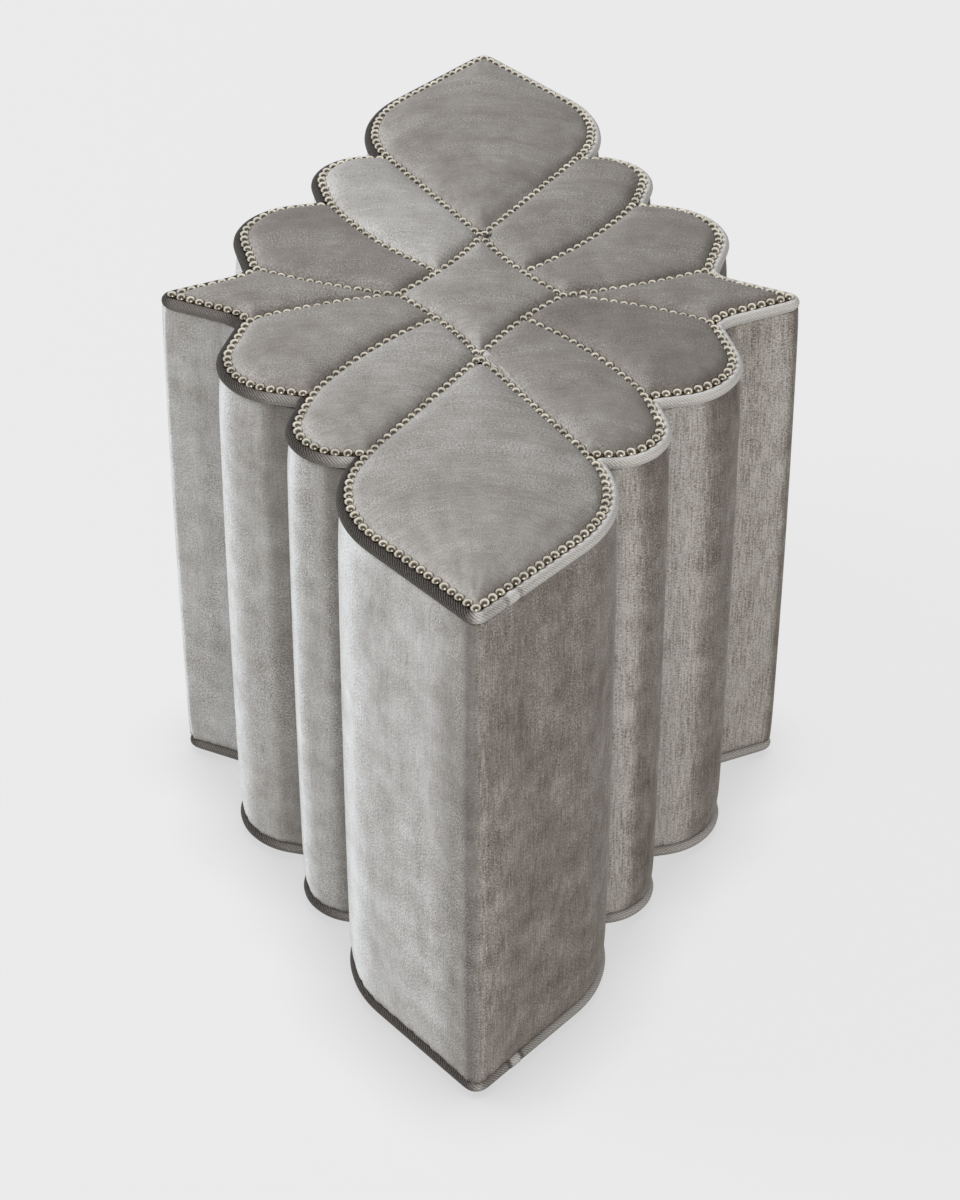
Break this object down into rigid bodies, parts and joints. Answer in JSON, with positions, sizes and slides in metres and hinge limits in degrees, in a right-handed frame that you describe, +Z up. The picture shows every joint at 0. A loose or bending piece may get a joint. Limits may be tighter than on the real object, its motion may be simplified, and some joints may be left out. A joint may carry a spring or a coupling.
{
  "type": "ottoman",
  "caption": "Lotus-plan ottoman in pale silver velvet: pointed petals and rounded lobes, a nail-tufted padded top with a centre diamond, and a welt round both edges",
  "frame": {"origin": "on the floor under the middle of the ottoman", "axes": "+Z up, +Y along the long axis towards the back point, +X to the right seen from the front"},
  "size_m": [0.504, 0.8654, 0.4654],
  "materials": {
    "side_velvet": "pale silver velvet, nap down",
    "top_velvet": "pale silver velvet, brushed",
    "welt_velvet": "bias-cut silver velvet on cord",
    "plywood": "birch plywood, raw",
    "softwood": "planed pine, raw",
    "nylon": "black moulded nylon",
    "dust_cloth": "black non-woven cloth"
  },
  "bodies": {
    "root": {"back_glide": "nylon", "back_petal_cover": "side_velvet", "back_petal_pad": "top_velvet", "back_post": "softwood", "base_board": "plywood", "bottom_welt": "welt_velvet", "cross_stiffener": "plywood", "diamond_pad": "top_velvet", "dust_cover": "dust_cloth", "front_glide": "nylon", "front_petal_cover": "side_velvet", "front_petal_pad": "top_velvet", "front_post": "softwood", "inner_batten_back_left": "softwood", "inner_batten_back_right": "softwood", "inner_batten_front_left": "softwood", "inner_batten_front_right": "softwood", "left_glide": "nylon", "left_petal_cover": "side_velvet", "left_petal_pad": "top_velvet", "left_post": "softwood", "long_stiffener": "plywood", "middle_batten_back_left": "softwood", "middle_batten_back_right": "softwood", "middle_batten_front_left": "softwood", "middle_batten_front_right": "softwood", "narrow_lobe_cover_back_left": "side_velvet", "narrow_lobe_cover_back_right": "side_velvet", "narrow_lobe_cover_front_left": "side_velvet", "narrow_lobe_cover_front_right": "side_velvet", "narrow_lobe_pad_back_left": "top_velvet", "narrow_lobe_pad_back_right": "top_velvet", "narrow_lobe_pad_front_left": "top_velvet", "narrow_lobe_pad_front_right": "top_velvet", "outer_batten_back_left": "softwood", "outer_batten_back_right": "softwood", "outer_batten_front_left": "softwood", "outer_batten_front_right": "softwood", "right_glide": "nylon", "right_petal_cover": "side_velvet", "right_petal_pad": "top_velvet", "right_post": "softwood", "top_board": "plywood", "top_welt": "welt_velvet", "wide_lobe_cover_back_left": "side_velvet", "wide_lobe_cover_back_right": "side_velvet", "wide_lobe_cover_front_left": "side_velvet", "wide_lobe_cover_front_right": "side_velvet", "wide_lobe_pad_back_left": "top_velvet", "wide_lobe_pad_back_right": "top_velvet", "wide_lobe_pad_front_left": "top_velvet", "wide_lobe_pad_front_right": "top_velvet"}
  },
  "joints": []
}
